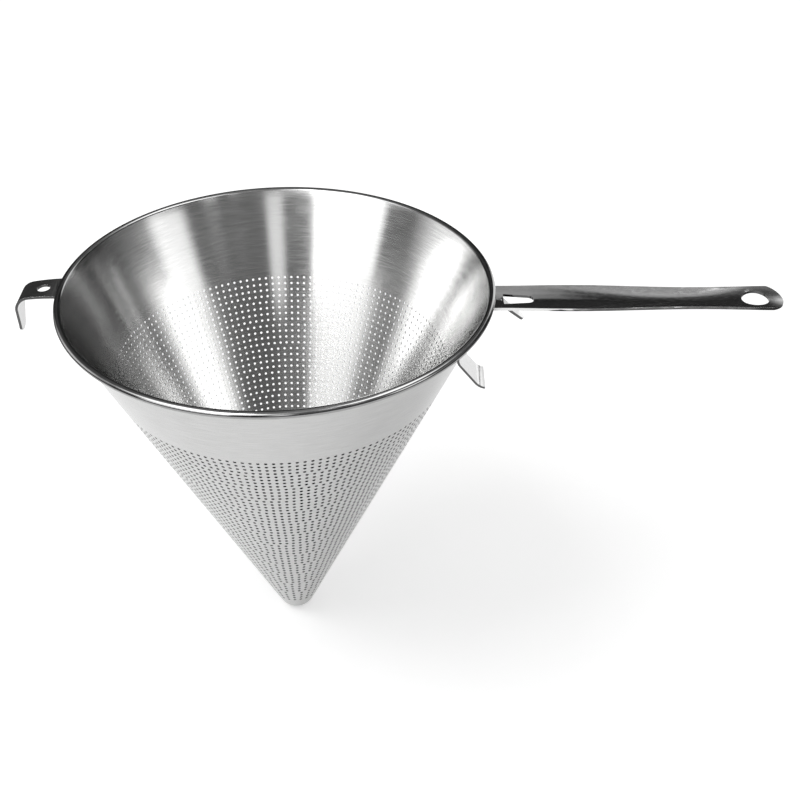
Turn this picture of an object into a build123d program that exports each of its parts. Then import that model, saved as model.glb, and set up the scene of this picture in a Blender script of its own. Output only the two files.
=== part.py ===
from build123d import *
import os
from math import acos, asin, cos, degrees, pi, radians, sin, sqrt, tan

os.makedirs("parts", exist_ok=True)

# The origin is the centre of the rim circle, level with the wire inside the rolled bead.
# The handle points along +X, the hook along -X and the cone hangs below, along -Z.

# Rolled rim: the cone's sheet is curled outward over a hard wire
rim_diameter = 240.0
cone_sheet = 0.8
wire_diameter = 2.4
wire_clearance = 0.1
wire_flats = 8
curl_gap = 0.3

# Cone wall and its rounded tip, measured on the outside
cone_half_angle = 24.4
tip_radius = 12.2

# Perforation of the wall below its plain band, and the block of holes that one opening stands for
hole_diameter = 1.5
hole_spacing = 4.0
hole_row_spacing = 3.72
first_row_depth = 53.4
block_rows = 4
block_holes = 6

# Gap left by the spot welds between a fitting and the bead or wall that carries it
weld_gap = 0.1
overrun = 40.0

# Handle: a shallow pressed gutter with rounded lips, welded to the band by a flange
handle_sheet = 1.5
handle_drop = 6.0
handle_width = 26.0
handle_overhang = 159.0
trough_depth = 3.0
handle_flange_height = 17.0
handle_flange_corner = 5.0
hanging_hole_diameter = 15.0
hanging_hole_inset = 15.2

# Slot in the handle's root, and the rest tongue that is lanced out of it and bent down
slot_setback = 4.8
slot_length = 16.8
slot_width = 10.4
slot_end_width = 7.6
tongue_width = 8.0
tongue_end_width = 5.6
tongue_length = 17.6
tongue_slope = 40.0

# Hook opposite the handle: a strip that arches out from the bead and turns down
hook_sheet = 1.5
hook_width = 19.6
hook_shoulder_width = 16.4
hook_arch_length = 17.5
hook_arch_radius = 120.0
hook_bend_radius = 8.5
hook_lean = 4.0
hook_leg_length = 17.0
hook_tip_width = 9.0
hook_hole_diameter = 7.4
hook_hole_setback = 8.0

# Rest tabs either side of the handle: sheet lugs that leave the band parallel to the handle
tab_sheet = 1.2
tab_width = 19.0
tab_offset = 45.0
tab_stand_off = 1.6
tab_head = 2.2
tab_bend_radius = 6.0
tab_slope = 52.0
tab_run = 13.2
tab_flare_radius = 8.0
tab_flare_slope = 18.0
tab_lip = 1.2
tab_head_gap = 1.0

# Places that follow from the sizes above
half_angle = radians(cone_half_angle)
curl_radius = wire_diameter / 2 + wire_clearance
bead_radius = curl_radius + cone_sheet
bead_centre = rim_diameter / 2 - bead_radius
apex_depth = (bead_centre - curl_radius / cos(half_angle)) / tan(half_angle)
tip_centre = apex_depth - tip_radius / sin(half_angle)
handle_reach = rim_diameter / 2 + handle_overhang
hanging_hole_reach = handle_reach - hanging_hole_inset
slot_start = rim_diameter / 2 + slot_setback
hook_hole_reach = rim_diameter / 2 + hook_hole_setback


def wall_radius(depth):
    """Outside radius of the cone's wall at a depth below the rim's wire."""
    return (apex_depth - depth) * tan(half_angle)


def wall_band(top, bottom, thickness):
    """Corners of the section of a sheet that lies on the wall between two depths."""
    near = weld_gap / cos(half_angle)
    far = (weld_gap + thickness) / cos(half_angle)
    return (
        (wall_radius(top) + near, -top),
        (wall_radius(top) + far, -top),
        (wall_radius(bottom) + far, -bottom),
        (wall_radius(bottom) + near, -bottom),
    )


def upright_plane(angle):
    """Upright plane through the cone's axis, turned about it from the XZ plane."""
    turn = radians(angle)
    return Plane(origin=(0, 0, 0), x_dir=(cos(turn), sin(turn), 0), z_dir=(sin(turn), -cos(turn), 0))


# Cone: tip, wall and curled rim in one sheet
outward = (cos(half_angle), -sin(half_angle))
inner_tip_radius = tip_radius - cone_sheet
curl_start = 180 - cone_half_angle
curl_sweep = 360 - degrees(acos(curl_radius / bead_radius)) - degrees(curl_gap / bead_radius)
with BuildPart() as cone:
    with BuildSketch(Plane.XZ):
        with BuildLine():
            wall_top = (bead_centre - curl_radius * outward[0], -curl_radius * outward[1])
            lip_top = (bead_centre - bead_radius * outward[0], -bead_radius * outward[1])
            wall_foot = (tip_radius * outward[0], -tip_centre + tip_radius * outward[1])
            lining_foot = (inner_tip_radius * outward[0], -tip_centre + inner_tip_radius * outward[1])
            outer_tip = CenterArc((0, -tip_centre), tip_radius, -90, 90 - cone_half_angle)
            Line(wall_foot, wall_top)
            curl_turns = [radians(curl_start - curl_sweep * flat / wire_flats) for flat in range(wire_flats + 1)]
            curl_points = [(bead_centre + curl_radius * cos(t), curl_radius * sin(t)) for t in curl_turns]
            inner_curl = Polyline(*curl_points)
            outer_curl = CenterArc((bead_centre, 0), bead_radius, curl_start, -curl_sweep)
            Line(inner_curl @ 1, outer_curl @ 1)
            Line(lip_top, lining_foot)
            inner_tip = CenterArc((0, -tip_centre), inner_tip_radius, -90, 90 - cone_half_angle)
            Line(inner_tip @ 0, outer_tip @ 0)
        make_face()
    revolve(axis=Axis.Z)
    # Perforation as a plain grid: each opening has the area of the block of holes that it stands for
    opening_side = sqrt(block_rows * block_holes * pi) * hole_diameter / 2
    row_drop = hole_row_spacing * cos(half_angle)
    grid_rows = int((tip_centre - first_row_depth + row_drop) / (block_rows * row_drop))
    for grid_row in range(grid_rows):
        row_depth = first_row_depth + (block_rows * grid_row + (block_rows - 1) / 2) * row_drop
        row_radius = wall_radius(row_depth)
        row_openings = round(2 * pi * row_radius / (block_holes * hole_spacing))
        opening_arc = degrees(opening_side / row_radius)
        for place in range(row_openings):
            with BuildSketch(upright_plane((place + grid_row % 2 / 2) * 360 / row_openings - opening_arc / 2)):
                with Locations((row_radius, -row_depth)):
                    Rectangle(4 * cone_sheet, opening_side, rotation=-cone_half_angle)
        revolve(axis=Axis.Z, revolution_arc=opening_arc, mode=Mode.SUBTRACT)
cone.part.label = "cone"

# Wire ring inside the curl. Flats stand for its round, which the curl hides.
with BuildPart() as rim_wire:
    with BuildSketch(Plane.XZ):
        with Locations((bead_centre, 0)):
            RegularPolygon(wire_diameter / 2, wire_flats)
    revolve(axis=Axis.Z)
rim_wire.part.label = "rim_wire"

# Space that the wall and tip take up, for trimming what is welded to the wall
with BuildPart() as wall_space:
    with BuildSketch(Plane.XZ):
        with BuildLine():
            space_shift = weld_gap / cos(half_angle)
            Polyline(
                (0, 0),
                (wall_radius(0) + space_shift, 0),
                (wall_radius(tip_centre) + space_shift, -tip_centre),
                (0, -tip_centre),
                close=True,
            )
        make_face()
    revolve(axis=Axis.Z)

# Handle: sections of the gutter from root to end, as shares of the length, width and depth
station_shares = (0.0, 0.16, 0.5, 0.84, 0.93, 1.0)
width_shares = (1.07, 1.045, 1.0, 0.95, 1.0, 1.0)
depth_shares = (0.55, 0.6, 1.0, 0.6, 0.4, 0.5)
handle_root = wall_radius(handle_drop + trough_depth + 2 * handle_sheet)
handle_length = handle_reach - handle_root
flange_bottom = handle_drop + handle_flange_height
flange_arc = 2 * degrees(asin(handle_width / 2 / wall_radius(handle_drop)))
with BuildPart() as handle_flange:
    with BuildSketch(upright_plane(-flange_arc / 2)):
        with BuildLine():
            Polyline(*wall_band(handle_drop, flange_bottom, handle_sheet), close=True)
        make_face()
    revolve(axis=Axis.Z, revolution_arc=flange_arc)
    with BuildSketch(Plane.YZ):
        with Locations((0, -handle_drop)):
            RectangleRounded(handle_width, 2 * handle_flange_height, handle_flange_corner)
    extrude(amount=rim_diameter, mode=Mode.INTERSECT)
with BuildPart() as handle:
    for station, width_share, depth_share in zip(station_shares, width_shares, depth_shares):
        dip = trough_depth * depth_share
        lip_reach = handle_width * width_share / 2 - handle_sheet
        trough_radius = (lip_reach ** 2 + dip ** 2) / (2 * dip)
        lip_angle = asin(lip_reach / trough_radius)
        trough_centre = trough_radius - dip - handle_drop
        under_radius = trough_radius + handle_sheet
        under_reach = under_radius * sin(lip_angle)
        under_level = trough_centre - under_radius * cos(lip_angle)
        with BuildSketch(Plane.YZ.offset(handle_root + station * handle_length)):
            with BuildLine():
                floor_level = -handle_drop - dip
                ThreePointArc((-lip_reach, -handle_drop), (0, floor_level), (lip_reach, -handle_drop))
                Line((lip_reach, -handle_drop), (under_reach, under_level))
                ThreePointArc((under_reach, under_level), (0, floor_level - handle_sheet), (-under_reach, under_level))
                Line((-under_reach, under_level), (-lip_reach, -handle_drop))
            make_face()
    loft()
    # rounded end, seen from above
    with BuildSketch(Plane.XY.offset(-overrun)):
        with BuildLine():
            end_start = handle_reach - handle_width / 2
            Line((end_start, -handle_width), (end_start, -handle_width / 2))
            ThreePointArc(
                (end_start, -handle_width / 2),
                (handle_reach, 0),
                (end_start, handle_width / 2),
            )
            Line((end_start, handle_width / 2), (end_start, handle_width))
            Line((end_start, handle_width), (handle_reach + handle_width, handle_width))
            Line((handle_reach + handle_width, handle_width), (handle_reach + handle_width, -handle_width))
            Line((handle_reach + handle_width, -handle_width), (end_start, -handle_width))
        make_face()
    extrude(amount=2 * overrun, mode=Mode.SUBTRACT)
    add(wall_space.part, mode=Mode.SUBTRACT)
    # hanging hole, and the slot with its rounded outer end
    with BuildSketch(Plane.XY.offset(-overrun)):
        with Locations((hanging_hole_reach, 0)):
            Circle(hanging_hole_diameter / 2)
        with BuildLine():
            slot_round = slot_start + slot_length - slot_end_width / 2
            Line((slot_start, -slot_width / 2), (slot_round, -slot_end_width / 2))
            ThreePointArc(
                (slot_round, -slot_end_width / 2),
                (slot_start + slot_length, 0),
                (slot_round, slot_end_width / 2),
            )
            Line((slot_round, slot_end_width / 2), (slot_start, slot_width / 2))
            Line((slot_start, slot_width / 2), (slot_start, -slot_width / 2))
        make_face()
    extrude(amount=2 * overrun, mode=Mode.SUBTRACT)
    # rest tongue, turned down from the slot's inner end
    tongue_turn = radians(tongue_slope)
    tongue_top = -handle_drop - trough_depth * depth_shares[1]
    tongue_plane = Plane(
        origin=(slot_start - handle_sheet, 0, tongue_top),
        x_dir=(cos(tongue_turn), 0, -sin(tongue_turn)),
        z_dir=(sin(tongue_turn), 0, cos(tongue_turn)),
    )
    with BuildSketch(tongue_plane):
        with BuildLine():
            tongue_round = tongue_length - tongue_end_width / 2
            Line((0, -tongue_width / 2), (tongue_round, -tongue_end_width / 2))
            ThreePointArc(
                (tongue_round, -tongue_end_width / 2),
                (tongue_length, 0),
                (tongue_round, tongue_end_width / 2),
            )
            Line((tongue_round, tongue_end_width / 2), (0, tongue_width / 2))
            Line((0, tongue_width / 2), (0, -tongue_width / 2))
        make_face()
    extrude(amount=-handle_sheet)
    add(handle_flange.part)
handle.part.label = "handle"

# Hook: arched strip, bend and leaning leg, cut to a tapered tip and fitted round the bead
arch_turn = degrees(hook_arch_length / hook_arch_radius)
with BuildPart() as rest_hook:
    with BuildSketch(Plane.XZ):
        with BuildLine():
            arch = JernArc((-bead_centre, -hook_sheet / 2), (-1, 0), hook_arch_radius, arch_turn)
            bend = JernArc(arch @ 1, arch % 1, hook_bend_radius, 90 - arch_turn - hook_lean)
            leg = Line(bend @ 1, bend @ 1 + (bend % 1) * hook_leg_length)
        trace(line_width=hook_sheet)
    extrude(amount=hook_width / 2, both=True)
    taper_top = (bend @ 1).Y
    leg_foot = (leg @ 1).Y
    with BuildSketch(Plane.YZ):
        with BuildLine():
            tip_round = leg_foot + hook_tip_width / 2
            Polyline(
                (hook_tip_width / 2, tip_round),
                (hook_shoulder_width / 2, taper_top),
                (hook_width / 2, taper_top),
                (hook_width / 2, hook_sheet),
                (-hook_width / 2, hook_sheet),
                (-hook_width / 2, taper_top),
                (-hook_shoulder_width / 2, taper_top),
                (-hook_tip_width / 2, tip_round),
            )
            ThreePointArc((-hook_tip_width / 2, tip_round), (0, leg_foot), (hook_tip_width / 2, tip_round))
        make_face()
    extrude(amount=-rim_diameter, mode=Mode.INTERSECT)
    with BuildSketch(Plane.XY.offset(-overrun)):
        with BuildLine():
            shoulder_reach = -(bend @ 1).X
            Polyline(
                (-bead_centre, -hook_width / 2),
                (-shoulder_reach, -hook_shoulder_width / 2),
                (-shoulder_reach - overrun, -hook_shoulder_width / 2),
                (-shoulder_reach - overrun, hook_shoulder_width / 2),
                (-shoulder_reach, hook_shoulder_width / 2),
                (-bead_centre, hook_width / 2),
                close=True,
            )
        make_face()
    extrude(amount=2 * overrun, mode=Mode.INTERSECT)
    with BuildSketch(Plane.XY):
        with Locations((-hook_hole_reach, 0)):
            Circle(hook_hole_diameter / 2)
    extrude(amount=overrun, both=True, mode=Mode.SUBTRACT)
    with BuildSketch(Plane.XZ):
        with Locations((bead_centre, 0)):
            Circle(bead_radius + weld_gap)
    revolve(axis=Axis.Z, mode=Mode.SUBTRACT)
rest_hook.part.label = "rest_hook"

# Rest tab: bent sheet trimmed to the wall, with a weld flange above its root
tab_outer = tab_offset + tab_width
tab_top = bead_radius + tab_head_gap
tab_start = sqrt(wall_radius(tab_top) ** 2 - tab_outer ** 2) + tab_stand_off
tab_near = degrees(asin(tab_offset / wall_radius(tab_top)))
tab_far = degrees(asin(tab_outer / wall_radius(tab_top)))
with BuildPart() as tab_sheet_part:
    with BuildSketch(Plane.XZ.offset(tab_offset)):
        with BuildLine():
            head = Line((tab_start, -tab_top), (tab_start, -tab_top - tab_head))
            shoulder = JernArc(head @ 1, head % 1, tab_bend_radius, 90 - tab_slope)
            slope = Line(shoulder @ 1, shoulder @ 1 + (shoulder % 1) * tab_run)
            flare = JernArc(slope @ 1, slope % 1, tab_flare_radius, tab_slope - tab_flare_slope)
            Line(flare @ 1, flare @ 1 + (flare % 1) * tab_lip)
        trace(line_width=tab_sheet)
    extrude(amount=tab_width)
    add(wall_space.part, mode=Mode.SUBTRACT)
root_point = shoulder @ 1
root_turn = radians(tab_slope)
root_plane = Plane(
    origin=(root_point.X, 0, root_point.Y),
    x_dir=(cos(root_turn), 0, -sin(root_turn)),
    z_dir=(sin(root_turn), 0, cos(root_turn)),
)
with BuildPart() as rest_tab_front:
    with BuildSketch(upright_plane(-tab_far)):
        with BuildLine():
            Polyline(*wall_band(tab_top, tab_top + tab_run, tab_sheet), close=True)
        make_face()
    revolve(axis=Axis.Z, revolution_arc=tab_far - tab_near)
    split(bisect_by=root_plane, keep=Keep.TOP)
    add(tab_sheet_part.part)
rest_tab_front.part.label = "rest_tab_front"

with BuildPart() as rest_tab_rear:
    add(mirror(rest_tab_front.part, about=Plane.XZ, mode=Mode.PRIVATE))
rest_tab_rear.part.label = "rest_tab_rear"

for piece in (cone, rim_wire, handle, rest_hook, rest_tab_front, rest_tab_rear):
    export_step(piece.part, "parts/" + piece.part.label + ".step")
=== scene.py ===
"""Chinois strainer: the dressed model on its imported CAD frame, laid out as a Blender add-on."""

from math import acos, atan2, cos, hypot, pi, radians, sin, tan

import bmesh
import bpy
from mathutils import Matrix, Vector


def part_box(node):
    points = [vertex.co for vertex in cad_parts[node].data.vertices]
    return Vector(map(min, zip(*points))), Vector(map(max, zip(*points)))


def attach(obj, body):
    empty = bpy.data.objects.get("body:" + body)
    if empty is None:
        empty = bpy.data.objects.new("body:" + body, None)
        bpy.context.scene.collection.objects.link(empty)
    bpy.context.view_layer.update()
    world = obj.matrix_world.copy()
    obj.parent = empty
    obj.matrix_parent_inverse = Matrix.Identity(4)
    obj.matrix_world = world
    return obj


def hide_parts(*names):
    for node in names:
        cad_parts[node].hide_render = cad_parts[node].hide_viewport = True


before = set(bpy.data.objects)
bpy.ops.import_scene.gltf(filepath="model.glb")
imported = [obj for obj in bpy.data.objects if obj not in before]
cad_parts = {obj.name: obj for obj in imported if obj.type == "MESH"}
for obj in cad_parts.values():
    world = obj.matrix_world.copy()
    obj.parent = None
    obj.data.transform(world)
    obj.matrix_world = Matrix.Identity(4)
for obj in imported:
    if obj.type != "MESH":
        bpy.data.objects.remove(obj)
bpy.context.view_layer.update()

bl_info = {
    "name": "Chinois strainer",
    "version": (1, 0, 0),
    "blender": (4, 5, 0),
    "location": "3D View > Sidebar > Strainer",
    "description": "Builds a conical perforated strainer with a wired rim, a handle, a hook and rest tabs",
    "category": "Object",
}

CONE_LOW, CONE_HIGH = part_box("cone")
BODY = "root"


class StrainerSizes(bpy.types.PropertyGroup):
    """Sizes of the cone, its rim and its perforation"""

    rim_radius: bpy.props.FloatProperty(
        name="Rim radius", description="Outside radius of the rolled bead", default=CONE_HIGH.x, unit="LENGTH"
    )
    sheet: bpy.props.FloatProperty(
        name="Sheet", description="Thickness of the cone's sheet", default=0.0008, unit="LENGTH"
    )
    bead_radius: bpy.props.FloatProperty(
        name="Bead radius", description="Radius of the bead's section", default=CONE_HIGH.z, unit="LENGTH"
    )
    bead_gap: bpy.props.FloatProperty(
        name="Bead gap", description="Gap where the curl comes back to the wall",
        default=0.0003, unit="LENGTH"
    )
    half_angle: bpy.props.FloatProperty(
        name="Half angle", description="Angle between the wall and the axis",
        default=radians(24.4), subtype="ANGLE"
    )
    tip_radius: bpy.props.FloatProperty(
        name="Tip radius", description="Outside radius of the rounded tip", default=0.0122, unit="LENGTH"
    )
    hole_diameter: bpy.props.FloatProperty(
        name="Hole diameter", description="Diameter of one perforation", default=0.0015, unit="LENGTH"
    )
    hole_edge: bpy.props.FloatProperty(
        name="Hole edge", description="Edge that the punch rolls in on the outside",
        default=0.00025, unit="LENGTH"
    )
    hole_spacing: bpy.props.FloatProperty(
        name="Hole spacing", description="Spacing round the lowest row of a group",
        default=0.00383, unit="LENGTH"
    )
    row_spacing: bpy.props.FloatProperty(
        name="Row spacing", description="Spacing of the rows down the wall", default=0.00378, unit="LENGTH"
    )
    first_row: bpy.props.FloatProperty(
        name="First row", description="Distance down the wall from the rim's wire to the top row",
        default=0.0534, unit="LENGTH"
    )
    rows_per_group: bpy.props.IntProperty(
        name="Rows per group", description="Rows whose holes share their lines down the wall",
        default=4, min=1
    )
    upper_groups: bpy.props.IntProperty(
        name="Upper groups", description="Groups of rows in the upper piece of wall", default=3, min=1
    )
    middle_groups: bpy.props.IntProperty(
        name="Middle groups", description="Groups of rows in the middle piece of wall", default=4, min=1
    )
    lower_groups: bpy.props.IntProperty(
        name="Lower groups", description="Groups of rows in the lower piece of wall", default=6, min=1
    )
    turns: bpy.props.IntProperty(
        name="Divisions", description="Divisions round the rim and the tip", default=288, min=24
    )
    # This size and the next pick the fittings' thin faces that get a painted shade.
    thickest_edge: bpy.props.FloatProperty(
        name="Thickest edge", description="Faces of the fittings narrower than this are sheared edges",
        default=0.0016, unit="LENGTH"
    )
    longest_edge: bpy.props.FloatProperty(
        name="Longest edge", description="Edges with a longer outline are buffed, as along the handle",
        default=0.3, unit="LENGTH"
    )
    edge_round: bpy.props.FloatProperty(
        name="Edge round", description="Rounding of the fittings' sheared edges",
        default=0.0003, unit="LENGTH"
    )


class StrainerFinish(bpy.types.PropertyGroup):
    """Colours and polish of the steel"""

    satin_colour: bpy.props.FloatVectorProperty(
        name="Satin steel", description="Colour of the brushed cone", default=(0.58, 0.58, 0.577),
        size=3, subtype="COLOR", min=0, max=1
    )
    satin_roughness: bpy.props.FloatProperty(
        name="Satin roughness", description="Roughness of the brushed cone", default=0.17, min=0, max=1
    )
    satin_grain: bpy.props.FloatProperty(
        name="Satin grain", description="How much longer the gloss is across the brush lines",
        default=0.8, min=0, max=1
    )
    # Painted shade: near black, it stands in for the shadow inside the punched holes, where the view runs
    # into the dark inside of the cone.
    hole_shade_colour: bpy.props.FloatVectorProperty(
        name="Punched hole", description="Colour inside the punched holes", default=(0.03, 0.03, 0.03),
        size=3, subtype="COLOR", min=0, max=1
    )
    # Painted shade: dark, it stands in for the shadow on the fittings' thin sheared edges.
    edge_shade_colour: bpy.props.FloatVectorProperty(
        name="Sheared edge", description="Colour of the fittings' sheared edges", default=(0.12, 0.12, 0.12),
        size=3, subtype="COLOR", min=0, max=1
    )
    polished_colour: bpy.props.FloatVectorProperty(
        name="Polished steel", description="Colour of the fittings", default=(0.6, 0.6, 0.6),
        size=3, subtype="COLOR", min=0, max=1
    )
    # Painted shade: far darker than the fittings' steel, it stands in for a dark room in the polished bead's
    # reflections.
    bead_colour_painted_dark: bpy.props.FloatVectorProperty(
        name="Rolled bead", description="Colour of the rolled bead", default=(0.35, 0.35, 0.35),
        size=3, subtype="COLOR", min=0, max=1
    )
    polished_roughness: bpy.props.FloatProperty(
        name="Polished roughness", description="Roughness of the bead and the fittings",
        default=0.12, min=0, max=1
    )


class StrainerStudio(bpy.types.PropertyGroup):
    """Floor, light and camera"""

    floor_colour: bpy.props.FloatVectorProperty(
        name="Floor", description="Colour of the floor", default=(0.85, 0.85, 0.85),
        size=3, subtype="COLOR", min=0, max=1
    )
    key_power: bpy.props.FloatProperty(
        name="Key light", description="Power of the large soft lamp overhead", default=14.0, unit="POWER"
    )
    lens: bpy.props.FloatProperty(
        name="Lens", description="Focal length of the camera", default=56.84, unit="CAMERA"
    )
    camera_place: bpy.props.FloatVectorProperty(
        name="Camera", description="Place of the camera", default=(0.0676, -0.5980, 0.3559),
        size=3, subtype="TRANSLATION"
    )
    camera_pitch: bpy.props.FloatProperty(
        name="Camera pitch", description="Angle of the camera below the horizon",
        default=radians(35.86), subtype="ANGLE"
    )


# Wiring of node trees


def add_node(tree, kind, **settings):
    """Adds a node and sets its properties."""
    node = tree.nodes.new(kind)
    for name, value in settings.items():
        setattr(node, name, value)
    return node


def feed(tree, socket, value):
    """Joins an output to a socket, or sets the socket's own value."""
    if isinstance(value, bpy.types.NodeSocket):
        tree.links.new(value, socket)
    else:
        socket.default_value = value


def reckon(tree, operation, *values):
    """Math node on the values, which are numbers or outputs."""
    node = add_node(tree, "ShaderNodeMath", operation=operation)
    for place, value in enumerate(values):
        feed(tree, node.inputs[place], value)
    return node.outputs[0]


def between(tree, share, low, high):
    """Number that goes from low to high as the share goes from 0 to 1."""
    return reckon(tree, "MULTIPLY_ADD", share, reckon(tree, "SUBTRACT", high, low), low)


def mapped(tree, value, start, end, low=0.0, high=1.0):
    """Number that goes from low to high, and no further, as the value goes from start to end."""
    node = add_node(tree, "ShaderNodeMapRange")
    sockets = {"Value": value, "From Min": start, "From Max": end, "To Min": low, "To Max": high}
    for name, number in sockets.items():
        feed(tree, node.inputs[name], number)
    return node.outputs["Result"]


def blend(tree, share, first, second):
    """Colour that goes from the first to the second as the share goes from 0 to 1."""
    node = add_node(tree, "ShaderNodeMix", data_type="RGBA")
    first_socket, second_socket = (socket for socket in node.inputs if socket.type == "RGBA")
    feed(tree, node.inputs["Factor"], share)
    feed(tree, first_socket, first)
    feed(tree, second_socket, second)
    return next(socket for socket in node.outputs if socket.type == "RGBA")


def opaque(colour, strength=1.0):
    """The colour times the strength, as a colour socket takes it."""
    return (*(strength * part for part in colour), 1.0)


def new_material(name):
    """Material with its node tree and that tree's Principled BSDF."""
    material = bpy.data.materials.new(name)
    material.use_nodes = True
    tree = material.node_tree
    return material, tree, tree.nodes["Principled BSDF"]


def new_glow_material(name):
    """Material with an empty node tree."""
    material, tree, _ = new_material(name)
    tree.nodes.clear()
    return material, tree


# Steel

# Noise stays mostly between these
NOISE_LOW, NOISE_HIGH = 0.3, 0.7
# Darkest and lightest share of the steel's colour
SHADING = (0.92, 1.06)
# Values of the attribute that marks sheared faces where their painted shade starts to show and where it is
# full
SHADE_FROM, SHADE_FULL = 0.2, 0.45
# Brush lines: the noise's scale round the axis, its scale along the axis, and its detail
FINE_LINES = (9.0, 1500.0, 3.0)
BROAD_LINES = (5.0, 60.0, 2.0)
# How far the fine and the broad lines change the cone's roughness
FINE_CHANGE, BROAD_CHANGE = 0.02, 0.01
# Share of a turn that lays the long side of the gloss across the brush lines
GLOSS_TURN = 0.25
# How much smoother and how much rougher than its middle value the buffed steel gets
BUFFED_SMOOTHER, BUFFED_ROUGHER = 0.04, 0.05
# Scales of the buffed grain along X, Y and Z, and its detail
SHEET_GRAIN = (300.0, 900.0, 900.0)
BEAD_GRAIN = (200.0, 200.0, 200.0)
GRAIN_DETAIL = 4.0
# Strength and depth of the bump
SATIN_BUMP = (0.3, 0.000003)
BUFFED_BUMP = (0.06, 0.0001)


def noise_at(tree, place, detail):
    """Noise at a place that is already scaled."""
    noise = add_node(tree, "ShaderNodeTexNoise")
    feed(tree, noise.inputs["Vector"], place)
    noise.inputs["Scale"].default_value = 1.0
    noise.inputs["Detail"].default_value = detail
    return noise.outputs["Fac"]


def brush_lines(tree, around, along, detail):
    """Noise drawn out into lines round the axis; around and along are its scales."""
    split = add_node(tree, "ShaderNodeSeparateXYZ")
    feed(tree, split.inputs[0], add_node(tree, "ShaderNodeTexCoord").outputs["Object"])
    flat = add_node(tree, "ShaderNodeCombineXYZ")
    feed(tree, flat.inputs[0], split.outputs[0])
    feed(tree, flat.inputs[1], split.outputs[1])
    way = add_node(tree, "ShaderNodeVectorMath", operation="NORMALIZE")
    feed(tree, way.inputs[0], flat.outputs[0])
    turn = add_node(tree, "ShaderNodeSeparateXYZ")
    feed(tree, turn.inputs[0], way.outputs[0])
    joined = add_node(tree, "ShaderNodeCombineXYZ")
    feed(tree, joined.inputs[0], reckon(tree, "MULTIPLY", turn.outputs[0], around))
    feed(tree, joined.inputs[1], reckon(tree, "MULTIPLY", turn.outputs[1], around))
    feed(tree, joined.inputs[2], reckon(tree, "MULTIPLY", split.outputs[2], along))
    return noise_at(tree, joined.outputs[0], detail)


def spread(tree, noise, low, high):
    """Number that the noise moves from low to high."""
    return mapped(tree, noise, NOISE_LOW, NOISE_HIGH, low, high)


def shaded(tree, colour, noise):
    """Colour that the noise darkens and lightens."""
    darkest, lightest = (opaque(colour, strength) for strength in SHADING)
    return blend(tree, spread(tree, noise, 0.0, 1.0), darkest, lightest)


def sheared_and_shaded(tree, plain, colour):
    """The plain colour, but the given dark colour, a painted shade, where the attribute marks sheared faces:
    the punched holes' linings and the fittings' thin edges.
    """
    attribute = add_node(tree, "ShaderNodeAttribute", attribute_name="sheared_and_shaded").outputs["Fac"]
    return blend(tree, mapped(tree, attribute, SHADE_FROM, SHADE_FULL), plain, opaque(colour))


def add_bump(tree, steel, height, strength, depth):
    """Bumps the steel's surface by a height."""
    bump = add_node(tree, "ShaderNodeBump")
    bump.inputs["Strength"].default_value = strength
    bump.inputs["Distance"].default_value = depth
    feed(tree, bump.inputs["Height"], height)
    feed(tree, steel.inputs["Normal"], bump.outputs[0])


def satin_steel(finish, name):
    """Stainless sheet brushed round the axis, with fine lines, broad cloudy bands and a painted shade in the
    punched holes.
    """
    material, tree, steel = new_material(name)
    steel.inputs["Metallic"].default_value = 1.0
    steel.inputs["Anisotropic"].default_value = finish.satin_grain
    steel.inputs["Anisotropic Rotation"].default_value = GLOSS_TURN
    fine = brush_lines(tree, *FINE_LINES)
    broad = brush_lines(tree, *BROAD_LINES)
    brushed = shaded(tree, finish.satin_colour, fine)
    # The punched holes get a painted shade in the steel's colour.
    feed(tree, steel.inputs["Base Color"], sheared_and_shaded(tree, brushed, finish.hole_shade_colour))
    rough = finish.satin_roughness
    lines = spread(tree, fine, rough - FINE_CHANGE, rough + FINE_CHANGE)
    clouds = spread(tree, broad, -BROAD_CHANGE, BROAD_CHANGE)
    feed(tree, steel.inputs["Roughness"], reckon(tree, "ADD", lines, clouds))
    tangent = add_node(tree, "ShaderNodeTangent", direction_type="RADIAL", axis="Z")
    feed(tree, steel.inputs["Tangent"], tangent.outputs[0])
    add_bump(tree, steel, fine, *SATIN_BUMP)
    return material


def polished_steel(finish, name, colour, grain):
    """Buffed steel with a faint grain and slight waviness, and a painted shade on the sheared edges."""
    material, tree, steel = new_material(name)
    steel.inputs["Metallic"].default_value = 1.0
    scale = add_node(tree, "ShaderNodeMapping")
    scale.inputs["Scale"].default_value = grain
    feed(tree, scale.inputs["Vector"], add_node(tree, "ShaderNodeTexCoord").outputs["Object"])
    noise = noise_at(tree, scale.outputs[0], GRAIN_DETAIL)
    # The sheared edges get a painted shade in the steel's colour.
    feed(tree, steel.inputs["Base Color"], sheared_and_shaded(tree, shaded(tree, colour, noise), finish.edge_shade_colour))
    rough = finish.polished_roughness
    grained = spread(tree, noise, rough - BUFFED_SMOOTHER, rough + BUFFED_ROUGHER)
    feed(tree, steel.inputs["Roughness"], grained)
    add_bump(tree, steel, noise, *BUFFED_BUMP)
    return material


def steel_named(name):
    """The strainer's steel of that name, made the first time that it is asked for."""
    found = bpy.data.materials.get(name)
    if found:
        return found
    finish = bpy.context.scene.strainer_finish
    if name == "brushed_sheet":
        return satin_steel(finish, name)
    if name == "buffed_sheet":
        return polished_steel(finish, name, finish.polished_colour, SHEET_GRAIN)
    # The bead's steel is darkened: a painted shade for its reflections.
    return polished_steel(finish, name, finish.bead_colour_painted_dark, BEAD_GRAIN)


# Shapes

# Turned sheets are creased where two faces meet at more than this
TURNED_CREASE = radians(40)
# A fitting's stretch of faces ends where two faces meet at more than this
STRETCH_CREASE = radians(25)


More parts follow.
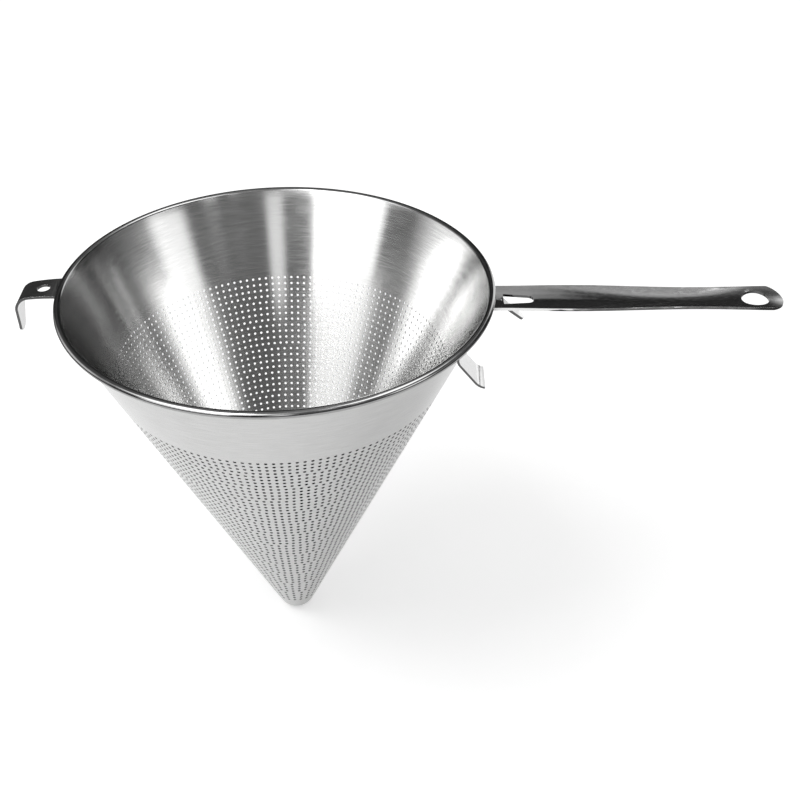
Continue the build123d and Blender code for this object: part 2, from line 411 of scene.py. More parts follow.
def wall_outside(sizes):
    """Outside radius of the wall level with the rim's wire, and the depth of the tip's centre."""
    middle = sizes.rim_radius - sizes.bead_radius
    curl = sizes.bead_radius - sizes.sheet
    radius = middle - curl / cos(sizes.half_angle)
    apex = radius / tan(sizes.half_angle)
    return radius, apex - sizes.tip_radius / sin(sizes.half_angle)


def on_wall(sizes, slant, inward):
    """Radius and height at a distance down the wall and a distance inward from its outside."""
    radius, _ = wall_outside(sizes)
    return (
        radius - slant * sin(sizes.half_angle) - inward * cos(sizes.half_angle),
        -slant * cos(sizes.half_angle) + inward * sin(sizes.half_angle),
    )


def lathe(name, outline, materials, slots, turns):
    """Turns a closed outline of (radius, height) round the axis.

    A radius of zero is a pole. slots gives the material of each side, from one point to the next.
    """
    shape = bmesh.new()
    rings = []
    for radius, height in outline:
        if radius == 0:
            rings.append([shape.verts.new((0, 0, height))] * turns)
        else:
            around = [2 * pi * step / turns for step in range(turns)]
            rings.append([shape.verts.new((radius * cos(a), radius * sin(a), height)) for a in around])
    for side, (ring, other) in enumerate(zip(rings, rings[1:] + rings[:1])):
        if ring[0] is ring[1] and other[0] is other[1]:
            continue
        for step in range(turns):
            after = (step + 1) % turns
            corners = []
            for corner in (ring[step], ring[after], other[after], other[step]):
                if corner not in corners:
                    corners.append(corner)
            face = shape.faces.new(corners)
            face.material_index = slots[side]
            face.smooth = True
    bmesh.ops.recalc_face_normals(shape, faces=shape.faces)
    mesh = bpy.data.meshes.new(name)
    shape.to_mesh(mesh)
    shape.free()
    for material in materials:
        mesh.materials.append(material)
    mesh.set_sharp_from_angle(angle=TURNED_CREASE)
    return show(name, mesh)


def show(name, mesh):
    """Puts a mesh in the scene as an object."""
    piece = bpy.data.objects.new(name, mesh)
    bpy.context.scene.collection.objects.link(piece)
    return piece


def seat(piece, nodes):
    """Makes a finished piece ride on the strainer and stand for its nodes."""
    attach(piece, BODY)
    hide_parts(*nodes)


def arc_points(centre, radius, start, end, steps):
    """Points of an arc, both ends included."""
    turns = [start + (end - start) * step / steps for step in range(steps + 1)]
    return [(centre[0] + radius * cos(t), centre[1] + radius * sin(t)) for t in turns]


def mark_sheared_and_shaded(mesh, thickest, longest):
    """Stores which faces are sheared edges, which the steel darkens with a painted shade.

    They are the stretches of faces between creases that are narrower than thickest, with an outline shorter
    than longest.
    """
    shape = bmesh.new()
    shape.from_mesh(mesh)
    mark = shape.faces.layers.float.new("sheared_and_shaded")
    waiting = dict.fromkeys(shape.faces)
    while waiting:
        stretch = [waiting.popitem()[0]]
        border = 0.0
        for face in stretch:
            for edge in face.edges:
                if edge.calc_face_angle(pi) > STRETCH_CREASE:
                    border += edge.calc_length()
                    continue
                beyond = [other for other in edge.link_faces if other in waiting]
                for other in beyond:
                    del waiting[other]
                stretch += beyond
        narrow = 2 * sum(face.calc_area() for face in stretch) < thickest * border
        for face in stretch:
            face[mark] = float(narrow and border < longest)
    shape.to_mesh(mesh)
    shape.free()


# Perforated wall

SIZE_INPUTS = (
    ("Hole Diameter", "NodeSocketFloat"),
    ("Hole Edge", "NodeSocketFloat"),
    ("Hole Spacing", "NodeSocketFloat"),
    ("Row Spacing", "NodeSocketFloat"),
    ("First Row", "NodeSocketFloat"),
    ("Rows Per Group", "NodeSocketInt"),
    ("First Group", "NodeSocketInt"),
    ("Group Count", "NodeSocketInt"),
    ("Sheet", "NodeSocketFloat"),
    ("Half Angle", "NodeSocketFloat"),
    ("Wall Radius", "NodeSocketFloat"),
    ("Steel", "NodeSocketMaterial"),
)
HOLE_SIDES = 12
# Rings of points in a cell of the wall. Ring 0 is its border outside. Then come the hole's rolled edge, the
# end of the roll, the end of the hole's lining and the cell's border inside.
ROLLED, SUNK, LINED, INNER_BORDER = range(1, 5)
# Depth of the roll's end in a cell, which keeps it apart from the rolled edge, and depth of the inside
SUNK_DEPTH, INSIDE_DEPTH = 0.5, 0.75
# How strongly the end of the lining takes the holes' painted shade
LINED_SHADE = 0.15
# Points closer than these are merged, in a cell's own shares and in the rolled wall
CELL_MERGE, WALL_MERGE = 0.0001, 0.000002
# Edges with a larger angle stay sharp
WALL_CREASE = 0.7


def stored(tree, geometry, name, value):
    """Stores a number on every point under a name."""
    node = add_node(tree, "GeometryNodeStoreNamedAttribute", data_type="FLOAT", domain="POINT")
    feed(tree, node.inputs["Geometry"], geometry)
    node.inputs["Name"].default_value = name
    feed(tree, node.inputs["Value"], value)
    return node.outputs[0]


def kept(tree, name):
    """The stored number of that name."""
    node = add_node(tree, "GeometryNodeInputNamedAttribute", data_type="FLOAT")
    node.inputs["Name"].default_value = name
    return node.outputs[0]


def coordinates(tree):
    """The point's own X, Y and Z."""
    split = add_node(tree, "ShaderNodeSeparateXYZ")
    feed(tree, split.inputs[0], add_node(tree, "GeometryNodeInputPosition").outputs[0])
    return split.outputs


def moved(tree, geometry, x, y, z):
    """Sets every point's place."""
    place = add_node(tree, "ShaderNodeCombineXYZ")
    for socket, value in zip(place.inputs, (x, y, z)):
        feed(tree, socket, value)
    node = add_node(tree, "GeometryNodeSetPosition")
    feed(tree, node.inputs["Geometry"], geometry)
    feed(tree, node.inputs["Position"], place.outputs[0])
    return node.outputs[0]


def is_ring(tree, ring, number):
    """1 on the ring of that number, otherwise 0."""
    return reckon(tree, "COMPARE", ring, number, 0.5)


def merged(tree, geometry, distance):
    """Merges points closer than the distance."""
    node = add_node(tree, "GeometryNodeMergeByDistance")
    node.inputs["Distance"].default_value = distance
    feed(tree, node.inputs["Geometry"], geometry)
    return node.outputs[0]


def hole_cell(tree):
    """A square cell of sheet with one round hole, in shares: X and Y from -1 to 1, Z from 0 outside to 1."""
    grid = add_node(tree, "GeometryNodeMeshGrid")
    grid.inputs["Size X"].default_value = HOLE_SIDES
    grid.inputs["Size Y"].default_value = INNER_BORDER
    grid.inputs["Vertices X"].default_value = HOLE_SIDES + 1
    grid.inputs["Vertices Y"].default_value = INNER_BORDER + 1
    x, y, _ = coordinates(tree)
    turn = reckon(tree, "MULTIPLY", reckon(tree, "ADD", reckon(tree, "ROUND", x), 0.5), 2 * pi / HOLE_SIDES)
    ring = reckon(tree, "ROUND", reckon(tree, "ADD", y, INNER_BORDER / 2))
    sunk = is_ring(tree, ring, SUNK)
    hole = reckon(tree, "COMPARE", ring, SUNK, LINED - SUNK + 0.1)
    inside = reckon(tree, "GREATER_THAN", ring, LINED - 0.5)
    across, along = reckon(tree, "COSINE", turn), reckon(tree, "SINE", turn)
    edge = reckon(tree, "MAXIMUM", reckon(tree, "ABSOLUTE", across), reckon(tree, "ABSOLUTE", along))
    reach = between(tree, hole, reckon(tree, "DIVIDE", 1.0, edge), 1.0)
    marks = {
        "hole": hole,
        "rolled": is_ring(tree, ring, ROLLED),
        "sunk": sunk,
        # This mark places the holes' painted shade: full at the end of the roll, faint at the end of the
        # lining.
        "sheared_and_shaded": reckon(tree, "MULTIPLY_ADD", is_ring(tree, ring, LINED), LINED_SHADE, sunk),
    }
    cell = grid.outputs["Mesh"]
    for name, value in marks.items():
        cell = stored(tree, cell, name, value)
    depth = reckon(tree, "MULTIPLY_ADD", sunk, SUNK_DEPTH, inside)
    x, y = (reckon(tree, "MULTIPLY", share, reach) for share in (across, along))
    return merged(tree, moved(tree, cell, x, y, depth), CELL_MERGE)


def cell_points(tree, sizes):
    """One point for each hole, which keeps its turn, its cell's turn and its distance down the wall.

    Half is added to the point's number before its row is worked out, so that rounding can't change the row.
    """
    start = add_node(tree, "GeometryNodeRepeatInput")
    end = add_node(tree, "GeometryNodeRepeatOutput")
    start.pair_with_output(end)
    feed(tree, start.inputs["Iterations"], sizes["Group Count"])
    group = reckon(tree, "ADD", start.outputs["Iteration"], sizes["First Group"])
    rows = sizes["Rows Per Group"]
    last = reckon(tree, "SUBTRACT", reckon(tree, "MULTIPLY", reckon(tree, "ADD", group, 1.0), rows), 1.0)
    last_slant = reckon(tree, "MULTIPLY_ADD", last, sizes["Row Spacing"], sizes["First Row"])
    sine = reckon(tree, "SINE", sizes["Half Angle"])
    last_radius = reckon(tree, "SUBTRACT", sizes["Wall Radius"], reckon(tree, "MULTIPLY", last_slant, sine))
    around = reckon(tree, "DIVIDE", reckon(tree, "MULTIPLY", last_radius, 2 * pi), sizes["Hole Spacing"])
    holes = reckon(tree, "ROUND", around)
    points = add_node(tree, "GeometryNodePoints")
    feed(tree, points.inputs["Count"], reckon(tree, "MULTIPLY", holes, rows))
    index = add_node(tree, "GeometryNodeInputIndex").outputs[0]
    row = reckon(tree, "FLOOR", reckon(tree, "DIVIDE", reckon(tree, "ADD", index, 0.5), holes))
    column = reckon(tree, "SUBTRACT", index, reckon(tree, "MULTIPLY", row, holes))
    shift = reckon(tree, "MULTIPLY", reckon(tree, "MODULO", group, 2.0), 0.5)
    cell_turn = reckon(tree, "DIVIDE", 2 * pi, holes)
    turn = reckon(tree, "MULTIPLY", reckon(tree, "ADD", column, shift), cell_turn)
    row_number = reckon(tree, "MULTIPLY_ADD", group, rows, row)
    slant = reckon(tree, "MULTIPLY_ADD", row_number, sizes["Row Spacing"], sizes["First Row"])
    made = points.outputs[0]
    for name, value in (("turn", turn), ("cell_turn", cell_turn), ("slant", slant)):
        made = stored(tree, made, name, value)
    join = add_node(tree, "GeometryNodeJoinGeometry")
    feed(tree, join.inputs[0], made)
    feed(tree, join.inputs[0], start.outputs["Geometry"])
    feed(tree, end.inputs["Geometry"], join.outputs[0])
    return end.outputs["Geometry"]


def perforation_tree():
    """Geometry Nodes that roll a sheet of holed cells into a band of the cone's wall."""
    tree = bpy.data.node_groups.new("Perforated wall", "GeometryNodeTree")
    for name, kind in SIZE_INPUTS:
        tree.interface.new_socket(name, in_out="INPUT", socket_type=kind)
    tree.interface.new_socket("Geometry", in_out="OUTPUT", socket_type="NodeSocketGeometry")
    sizes = add_node(tree, "NodeGroupInput").outputs
    instance = add_node(tree, "GeometryNodeInstanceOnPoints")
    feed(tree, instance.inputs["Points"], cell_points(tree, sizes))
    feed(tree, instance.inputs["Instance"], hole_cell(tree))
    real = add_node(tree, "GeometryNodeRealizeInstances")
    feed(tree, real.inputs["Geometry"], instance.outputs[0])
    across, along, depth = coordinates(tree)
    hole = kept(tree, "hole")
    edge = sizes["Hole Edge"]
    half_hole = reckon(tree, "MULTIPLY", sizes["Hole Diameter"], 0.5)
    radius = reckon(tree, "MULTIPLY_ADD", kept(tree, "rolled"), edge, half_hole)
    sine, cosine = (reckon(tree, name, sizes["Half Angle"]) for name in ("SINE", "COSINE"))
    half_row = reckon(tree, "MULTIPLY", sizes["Row Spacing"], 0.5)
    slant = reckon(tree, "MULTIPLY_ADD", along, between(tree, hole, half_row, radius), kept(tree, "slant"))
    outside = reckon(tree, "SUBTRACT", sizes["Wall Radius"], reckon(tree, "MULTIPLY", slant, sine))
    half_turn = reckon(tree, "MULTIPLY", kept(tree, "cell_turn"), 0.5)
    reach = between(tree, hole, half_turn, reckon(tree, "DIVIDE", radius, outside))
    turn = reckon(tree, "MULTIPLY_ADD", across, reach, kept(tree, "turn"))
    lining = reckon(tree, "MULTIPLY", reckon(tree, "GREATER_THAN", depth, INSIDE_DEPTH), sizes["Sheet"])
    inward = reckon(tree, "MULTIPLY_ADD", kept(tree, "sunk"), edge, lining)
    around = reckon(tree, "SUBTRACT", outside, reckon(tree, "MULTIPLY", inward, cosine))
    sunk_height = reckon(tree, "MULTIPLY", inward, sine)
    height = reckon(tree, "SUBTRACT", sunk_height, reckon(tree, "MULTIPLY", slant, cosine))
    rolled = moved(
        tree, real.outputs[0],
        reckon(tree, "MULTIPLY", around, reckon(tree, "COSINE", turn)),
        reckon(tree, "MULTIPLY", around, reckon(tree, "SINE", turn)),
        height,
    )
    bend = add_node(tree, "GeometryNodeInputMeshEdgeAngle").outputs[0]
    sharp = add_node(tree, "GeometryNodeSetShadeSmooth", domain="EDGE")
    feed(tree, sharp.inputs["Geometry"], merged(tree, rolled, WALL_MERGE))
    feed(tree, sharp.inputs["Selection"], reckon(tree, "GREATER_THAN", bend, WALL_CREASE))
    sharp.inputs["Shade Smooth"].default_value = False
    last_real = add_node(tree, "GeometryNodeRealizeInstances")
    feed(tree, last_real.inputs["Geometry"], sharp.outputs[0])
    dressed = add_node(tree, "GeometryNodeSetMaterial")
    feed(tree, dressed.inputs["Geometry"], last_real.outputs[0])
    feed(tree, dressed.inputs["Material"], sizes["Steel"])
    feed(tree, add_node(tree, "NodeGroupOutput").inputs[0], dressed.outputs[0])
    return tree


# Pieces

# Sides of the bead's inner and outer arcs, of the band down the wall, and of the tip's arcs
INNER_CURL_SIDES, OUTER_CURL_SIDES, BAND_SIDES, TIP_SIDES = 24, 36, 12, 12
TIP_DIVISIONS = 72
FITTINGS = ("handle", "rest_hook", "rest_tab_front", "rest_tab_rear")
# Points of the frame's loose triangles closer than this are merged, and sides flatter than this are joined
FRAME_MERGE = 0.000002
FRAME_FLAT = radians(0.3)
# Angles above which a fitting's edge is creased, and above which it is rounded
FITTING_CREASE, ROUNDED_CREASE = radians(35), radians(50)
ROUNDING_SIDES = 3


class STRAINER_OT_rim(bpy.types.Operator):
    """Rolled rim and the plain band below it, in one turned sheet"""

    bl_idname = "strainer.rim"
    bl_label = "Rim and band"

    def execute(self, context):
        sizes = context.scene.strainer_sizes
        middle = (sizes.rim_radius - sizes.bead_radius, 0.0)
        curl = sizes.bead_radius - sizes.sheet
        band_end = sizes.first_row - sizes.row_spacing / 2
        start = pi - sizes.half_angle
        end = start - 2 * pi + acos(curl / sizes.bead_radius) + sizes.bead_gap / sizes.bead_radius
        inner_curl = arc_points(middle, curl, start, end, INNER_CURL_SIDES)
        outer_curl = arc_points(middle, sizes.bead_radius, end, start, OUTER_CURL_SIDES)
        slants = [band_end * step / BAND_SIDES for step in range(1, BAND_SIDES + 1)]
        outside = [on_wall(sizes, slant, 0.0) for slant in reversed(slants)]
        inside = [on_wall(sizes, slant, sizes.sheet) for slant in slants]
        outline = outside + inner_curl + outer_curl + inside
        curl_sides = len(inner_curl) + len(outer_curl) - 1
        slots = [0] * len(outside) + [1] * curl_sides + [0] * (len(inside) + 1)
        steels = [steel_named("brushed_sheet"), steel_named("buffed_bead_painted_dark")]
        seat(lathe("rim_and_band", outline, steels, slots, sizes.turns), ["cone"])
        return {"FINISHED"}


class STRAINER_OT_perforated_wall(bpy.types.Operator):
    """Perforated wall of the cone, made by Geometry Nodes in three pieces"""

    bl_idname = "strainer.perforated_wall"
    bl_label = "Perforated wall"

    def execute(self, context):
        sizes = context.scene.strainer_sizes
        tree = perforation_tree()
        radius, _ = wall_outside(sizes)
        shared = {
            "Hole Diameter": sizes.hole_diameter,
            "Hole Edge": sizes.hole_edge,
            "Hole Spacing": sizes.hole_spacing,
            "Row Spacing": sizes.row_spacing,
            "First Row": sizes.first_row,
            "Rows Per Group": sizes.rows_per_group,
            "Sheet": sizes.sheet,
            "Half Angle": sizes.half_angle,
            "Wall Radius": radius,
            "Steel": steel_named("brushed_sheet"),
        }
        parts = (
            ("wall_upper", sizes.upper_groups),
            ("wall_middle", sizes.middle_groups),
            ("wall_lower", sizes.lower_groups),
        )
        first = 0
        for name, count in parts:
            piece = show(name, bpy.data.meshes.new(name))
            modifier = piece.modifiers.new("Perforated wall", "NODES")
            modifier.node_group = tree
            values = {**shared, "First Group": first, "Group Count": count}
            for item in tree.interface.items_tree:
                if item.in_out == "INPUT":
                    modifier[item.identifier] = values[item.name]
            graph = context.evaluated_depsgraph_get()
            mesh = bpy.data.meshes.new_from_object(piece.evaluated_get(graph))
            piece.modifiers.clear()
            piece.data = mesh
            if not mesh.polygons:
                raise RuntimeError(f"{name} has no faces")
            seat(piece, ["cone"])
            first += count
        return {"FINISHED"}


class STRAINER_OT_tip(bpy.types.Operator):
    """Plain rounded tip below the last row of holes"""

    bl_idname = "strainer.tip"
    bl_label = "Tip"

    def execute(self, context):
        sizes = context.scene.strainer_sizes
        _, centre = wall_outside(sizes)
        rows = sizes.rows_per_group * (sizes.upper_groups + sizes.middle_groups + sizes.lower_groups)
        start = sizes.first_row + sizes.row_spacing * (rows - 0.5)
        lining = sizes.tip_radius - sizes.sheet
        outer = arc_points((0.0, -centre), sizes.tip_radius, -sizes.half_angle, -pi / 2, TIP_SIDES)
        inner = arc_points((0.0, -centre), lining, -pi / 2, -sizes.half_angle, TIP_SIDES)
        outer[-1] = (0, outer[-1][1])
        inner[0] = (0, inner[0][1])
        outline = [on_wall(sizes, start, 0.0)] + outer + inner + [on_wall(sizes, start, sizes.sheet)]
        slots = [0] * len(outline)
        tip = lathe("tip", outline, [steel_named("brushed_sheet")], slots, TIP_DIVISIONS)
        seat(tip, ["cone"])
        return {"FINISHED"}


def fitting_mesh(node):
    """The frame's mesh of a fitting, with its loose triangles joined into sides."""
    shape = bmesh.new()
    shape.from_mesh(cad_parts[node].data)
    bmesh.ops.remove_doubles(shape, verts=shape.verts, dist=FRAME_MERGE)
    bmesh.ops.dissolve_limit(
        shape, angle_limit=FRAME_FLAT, verts=shape.verts, edges=shape.edges, use_dissolve_boundaries=False,
    )
    mesh = bpy.data.meshes.new(f"{node}_sheet")
    shape.to_mesh(mesh)
    shape.free()
    return mesh


class STRAINER_OT_fittings(bpy.types.Operator):
    """Handle, hook and tabs: the frame's own shapes with rounded edges and buffed steel"""

    bl_idname = "strainer.fittings"
    bl_label = "Handle, hook and tabs"

    def execute(self, context):
        sizes = context.scene.strainer_sizes
        for node in FITTINGS:
            mesh = fitting_mesh(node)
            mesh.materials.append(steel_named("buffed_sheet"))
            mesh.shade_smooth()
            mesh.set_sharp_from_angle(angle=FITTING_CREASE)
            # Marks the thin edge faces for their painted shade.
            mark_sheared_and_shaded(mesh, sizes.thickest_edge, sizes.longest_edge)
            piece = show(mesh.name, mesh)
            rounding = piece.modifiers.new("Rounded edges", "BEVEL")
            rounding.width = sizes.edge_round
            rounding.segments = ROUNDING_SIDES
            rounding.limit_method = "ANGLE"
            rounding.angle_limit = ROUNDED_CREASE
            rounding.harden_normals = True
            seat(piece, [node])
        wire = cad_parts["rim_wire"]
        wire.data.materials.clear()
        wire.data.materials.append(steel_named("buffed_bead_painted_dark"))
        return {"FINISHED"}


# Stage

# Brightness of the studio that the steel mirrors. A turn is in degrees, 0 on the camera's side (minus Y), 90
# on the handle's and -90 on the hook's. A height is the sine of the angle above the horizon.
# Levels at the horizon, by the turn
HORIZON = (
    (-180, 0.03), (-135, 0.05), (-115, 1.2), (-95, 1.2), (-86, 0.6), (-79, 0.2), (-63, 0.15), (-59, 2.0),
    (-20, 2.0), (-17, 0.1), (-2, 0.08), (2, 1.5), (8, 1.5), (11, 0.2), (54, 0.22), (60, 1.9), (75, 1.9),
    (82, 0.5), (90, 0.3), (104, 0.14), (114, 0.05), (134, 0.04), (140, 1.5), (152, 1.5), (158, 0.03),
    (180, 0.03),
)
# Rows above: the height where a row starts to take over, the height where it has, and its levels by the turn
ROOM_ROWS = (
    (0.33, 0.37, (
        (-180, 0.03), (-135, 0.05), (-115, 1.2), (-95, 1.2), (-86, 0.6), (-79, 0.2), (-63, 0.15), (-59, 2.0),
        (-20, 2.0), (-17, 0.1), (-2, 0.08), (2, 1.5), (8, 1.5), (11, 0.2), (50, 0.2), (66, 0.14), (90, 0.06),
        (134, 0.04), (140, 1.5), (152, 1.5), (158, 0.03), (180, 0.03),
    )),
    (0.39, 0.44, (
        (-180, 0.03), (-110, 0.05), (-90, 1.0), (-75, 3.0), (-20, 3.0), (-15, 0.5), (-3, 0.3), (36, 0.12),
        (80, 0.08), (134, 0.05), (140, 1.5), (150, 1.5), (158, 0.03), (180, 0.01),
    )),
    (0.45, 0.48, (
        (-180, 0.05), (-90, 0.3), (-60, 3.4), (-44, 7.5), (-24, 7.5), (-16, 2.5), (-8, 0.8), (3, 0.5),
        (10, 0.3), (37, 0.12), (40, 2.4), (45, 2.4), (48, 0.12), (80, 0.1), (140, 0.8), (152, 0.5),
        (158, 0.03), (180, 0.01),
    )),
    (0.53, 0.56, (
        (-180, 0.05), (-90, 0.2), (-60, 4.5), (-44, 8.5), (-24, 8.5), (-15, 3.8), (-4, 3.0), (3, 1.2),
        (10, 0.5), (24, 0.2), (27, 2.4), (31, 2.4), (34, 0.15), (60, 0.12), (140, 0.2), (158, 0.05),
        (163, 0.02), (168, 0.28), (171, 0.36), (180, 0.34),
    )),
    (0.66, 0.72, (
        (-180, 0.1), (-90, 0.2), (-70, 2.6), (-60, 4.0), (-18, 4.0), (-8, 2.6), (0, 1.2), (8, 0.7), (24, 0.5),
        (34, 0.6), (42, 2.2), (60, 2.8), (110, 2.6), (130, 0.8), (150, 0.2), (161, 0.05), (167, 0.42),
        (171, 0.5), (180, 0.45),
    )),
    (0.78, 0.84, (
        (-180, 0.3), (-165, 0.35), (-140, 0.25), (-100, 0.3), (-90, 0.5), (-78, 1.3), (-66, 3.0), (-32, 3.4),
        (-28, 9.0), (-20, 9.0), (-15, 2.2), (-3, 0.9), (10, 0.8), (30, 0.6), (40, 0.8), (48, 3.2), (62, 3.5),
        (124, 3.5), (131, 2.6), (137, 0.8), (148, 0.5), (170, 0.4), (180, 0.3),
    )),
    (0.9, 0.93, ((-180, 0.3), (-90, 0.3), (0, 0.35), (60, 0.45), (140, 0.45), (180, 0.3))),
)
# Levels of the far floor as mirror rays find it, and the distances where they start and are full
FAR_FLOOR = ((-180, 0.04), (132, 0.04), (139, 1.2), (150, 1.2), (157, 0.04), (180, 0.04))
FAR_FLOOR_START, FAR_FLOOR_FULL = 0.5, 0.75
# The floor's glow, as seen directly or in steel, and what camera rays see on top of it
SEEN_GLOW, CAMERA_GLOW = 0.24, 0.12
# The world's light on the stage, and as the camera sees it
WORLD_LIGHT, WORLD_SEEN = 0.68, 1.0
ROOM_RADIUS, ROOM_DIVISIONS = 4.0, 4
FLOOR_HALF = 6.0
LAMP_PLACE = (-0.8, -0.3, 1.5)
LAMP_TARGET = (0.0, 0.0, -0.1)
LAMP_SIZE = 1.0
SENSOR_WIDTH = 36.0


def turn_and_height(tree, place):
    """A place's turn as a share of 360 degrees, 0.5 on the camera's side, and its height."""
    way = add_node(tree, "ShaderNodeVectorMath", operation="NORMALIZE")
    feed(tree, way.inputs[0], place)
    split = add_node(tree, "ShaderNodeSeparateXYZ")
    feed(tree, split.inputs[0], way.outputs[0])
    x, y, height = split.outputs
    turn = reckon(tree, "ARCTAN2", x, reckon(tree, "MULTIPLY", y, -1.0))
    return reckon(tree, "ADD", reckon(tree, "DIVIDE", turn, 2 * pi), 0.5), height


def turn_ramp(tree, share, levels):
    """Colour ramp over one row of levels."""
    ramp = add_node(tree, "ShaderNodeValToRGB")
    feed(tree, ramp.inputs["Fac"], share)
    stops = ramp.color_ramp.elements
    while len(stops) > 1:
        stops.remove(stops[-1])
    for number, (turn, level) in enumerate(levels):
        spot = (turn + 180) / 360
        stop = stops[0] if number == 0 else stops.new(spot)
        stop.position = spot
        stop.color = (level, level, level, 1.0)
    return ramp.outputs["Color"]


def shown(tree, shader):
    """Makes the shader the material's surface."""
    out = add_node(tree, "ShaderNodeOutputMaterial")
    feed(tree, out.inputs["Surface"], shader.outputs[0])


def room_material():
    """Dim studio with bright panels round it and overhead."""
    material, tree = new_glow_material("studio_room")
    share, height = turn_and_height(tree, add_node(tree, "ShaderNodeTexCoord").outputs["Object"])
    light = turn_ramp(tree, share, HORIZON)
    for low, high, levels in ROOM_ROWS:
        light = blend(tree, mapped(tree, height, low, high), light, turn_ramp(tree, share, levels))
    glow = add_node(tree, "ShaderNodeEmission")
    feed(tree, glow.inputs["Color"], light)
    shown(tree, glow)
    return material


def floor_material(colour):
    """Pale floor that keeps the shadow, is lifted to white for the camera, and is mirrored dark far away."""
    material, tree = new_glow_material("floor")
    base = add_node(tree, "ShaderNodeBsdfDiffuse")
    base.inputs["Color"].default_value = opaque(colour)
    path = add_node(tree, "ShaderNodeLightPath").outputs
    mirrored = reckon(tree, "MAXIMUM", path["Is Glossy Ray"], path["Is Transmission Ray"])
    seen = reckon(tree, "MAXIMUM", path["Is Camera Ray"], mirrored)
    glow = add_node(tree, "ShaderNodeEmission")
    seen_glow = reckon(tree, "MULTIPLY", seen, SEEN_GLOW)
    strength = reckon(tree, "MULTIPLY_ADD", path["Is Camera Ray"], CAMERA_GLOW, seen_glow)
    feed(tree, glow.inputs["Strength"], strength)
    both = add_node(tree, "ShaderNodeAddShader")
    feed(tree, both.inputs[0], base.outputs[0])
    feed(tree, both.inputs[1], glow.outputs[0])
    place = add_node(tree, "ShaderNodeTexCoord").outputs["Object"]
    away = add_node(tree, "ShaderNodeVectorMath", operation="LENGTH")
    feed(tree, away.inputs[0], place)
    far = mapped(tree, away.outputs["Value"], FAR_FLOOR_START, FAR_FLOOR_FULL)
    dark = add_node(tree, "ShaderNodeEmission")
    feed(tree, dark.inputs["Color"], turn_ramp(tree, turn_and_height(tree, place)[0], FAR_FLOOR))
    mix = add_node(tree, "ShaderNodeMixShader")
    feed(tree, mix.inputs[0], reckon(tree, "MULTIPLY", far, path["Is Glossy Ray"]))
    feed(tree, mix.inputs[1], both.outputs[0])
    feed(tree, mix.inputs[2], dark.outputs[0])
    shown(tree, mix)
    return material


def floor_sheet(half, height, material):
    """Square floor."""
    corners = [(-half, -half, height), (half, -half, height), (half, half, height), (-half, half, height)]
    mesh = bpy.data.meshes.new("floor")
    mesh.from_pydata(corners, [], [(0, 1, 2, 3)])
    mesh.materials.append(material)
    return show("floor", mesh)


def room_dome(material):
    """Dome that only the steel's reflections see."""
    shape = bmesh.new()
    bmesh.ops.create_icosphere(shape, subdivisions=ROOM_DIVISIONS, radius=ROOM_RADIUS)
    mesh = bpy.data.meshes.new("studio_room")
    shape.to_mesh(mesh)
    shape.free()
    mesh.materials.append(material)
    room = show("studio_room", mesh)
    room.visible_camera = False
    room.visible_diffuse = False
    room.visible_shadow = False
    return room


def add_lamp(power):
    """Square soft lamp that lights the stage and isn't mirrored."""
    light = bpy.data.lights.new("key_lamp", "AREA")
    light.shape = "SQUARE"
    light.size = LAMP_SIZE
    light.energy = power
    lamp = bpy.data.objects.new("key_lamp", light)
    bpy.context.scene.collection.objects.link(lamp)
    lamp.location = LAMP_PLACE
    x, y, z = (target - place for target, place in zip(LAMP_TARGET, LAMP_PLACE))
    lamp.rotation_euler = (atan2(hypot(x, y), -z), 0.0, atan2(y, x) - pi / 2)
    lamp.visible_glossy = False


def light_world(scene):
    """World that lights the stage softly and is white to the camera."""
    world = bpy.data.worlds.new("pale_room")
    scene.world = world
    world.use_nodes = True
    tree = world.node_tree
    background = tree.nodes["Background"]
    background.inputs["Color"].default_value = opaque((1.0, 1.0, 1.0))
    path = add_node(tree, "ShaderNodeLightPath").outputs
    feed(tree, background.inputs["Strength"], between(tree, path["Is Camera Ray"], WORLD_LIGHT, WORLD_SEEN))


def place_camera(scene, studio):
    """Camera at the photograph's place and angle."""
    camera = bpy.data.cameras.new("camera")
    camera.lens = studio.lens
    camera.sensor_width = SENSOR_WIDTH
    view = bpy.data.objects.new("camera", camera)
    scene.collection.objects.link(view)
    view.location = studio.camera_place
    view.rotation_euler = (pi / 2 - studio.camera_pitch, 0.0, 0.0)
    scene.camera = view


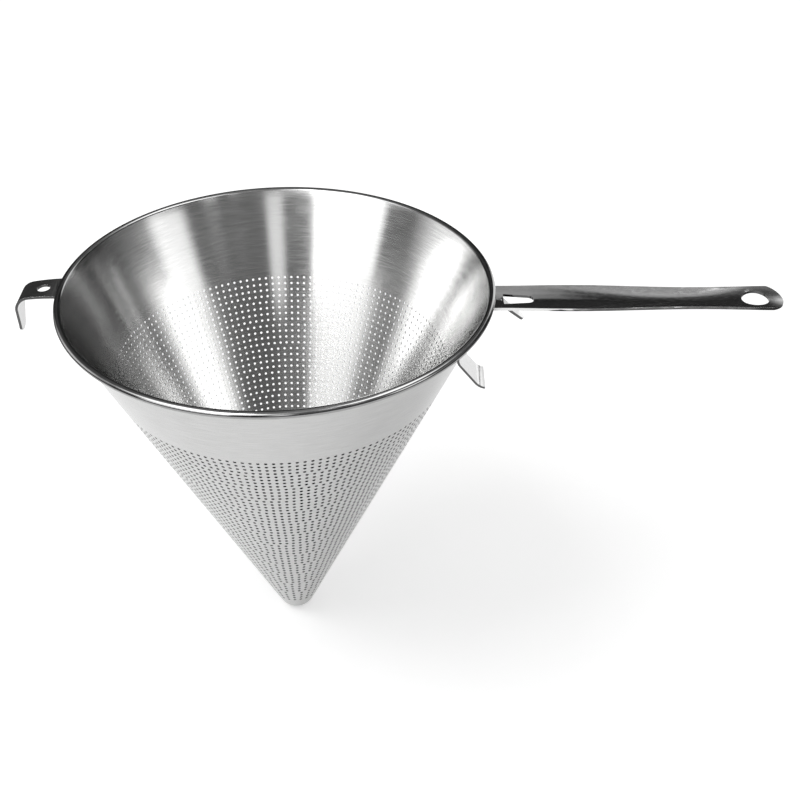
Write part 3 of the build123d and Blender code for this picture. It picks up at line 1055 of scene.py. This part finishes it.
class STRAINER_OT_stage(bpy.types.Operator):
    """Floor, studio room, lamp, world and camera"""

    bl_idname = "strainer.stage"
    bl_label = "Stage"

    def execute(self, context):
        scene = context.scene
        studio = scene.strainer_studio
        floor = floor_sheet(FLOOR_HALF, CONE_LOW.z, floor_material(studio.floor_colour))
        room_dome(room_material())
        add_lamp(studio.key_power)
        light_world(scene)
        place_camera(scene, studio)
        scene.view_settings.view_transform = "Standard"
        return {"FINISHED"}


OPERATORS = (
    STRAINER_OT_rim,
    STRAINER_OT_perforated_wall,
    STRAINER_OT_tip,
    STRAINER_OT_fittings,
    STRAINER_OT_stage,
)


class STRAINER_PT_panel(bpy.types.Panel):
    """Sidebar panel of the strainer"""

    bl_idname = "STRAINER_PT_panel"
    bl_label = "Strainer"
    bl_space_type = "VIEW_3D"
    bl_region_type = "UI"
    bl_category = "Strainer"

    def draw(self, context):
        scene = context.scene
        for group in (scene.strainer_sizes, scene.strainer_finish, scene.strainer_studio):
            box = self.layout.box()
            for name in group.__annotations__:
                box.prop(group, name)
        for operator in OPERATORS:
            self.layout.operator(operator.bl_idname)


CLASSES = (StrainerSizes, StrainerFinish, StrainerStudio, *OPERATORS, STRAINER_PT_panel)


def register():
    """Registers the classes and the scene's settings."""
    for cls in CLASSES:
        bpy.utils.register_class(cls)
    bpy.types.Scene.strainer_sizes = bpy.props.PointerProperty(type=StrainerSizes)
    bpy.types.Scene.strainer_finish = bpy.props.PointerProperty(type=StrainerFinish)
    bpy.types.Scene.strainer_studio = bpy.props.PointerProperty(type=StrainerStudio)


def unregister():
    """Removes them again."""
    del bpy.types.Scene.strainer_sizes
    del bpy.types.Scene.strainer_finish
    del bpy.types.Scene.strainer_studio
    for cls in reversed(CLASSES):
        bpy.utils.unregister_class(cls)


def main():
    """Builds the pieces and the stage."""
    register()
    bpy.ops.strainer.rim()
    bpy.ops.strainer.perforated_wall()
    bpy.ops.strainer.tip()
    bpy.ops.strainer.fittings()
    bpy.ops.strainer.stage()


if __name__ == "__main__":
    main()
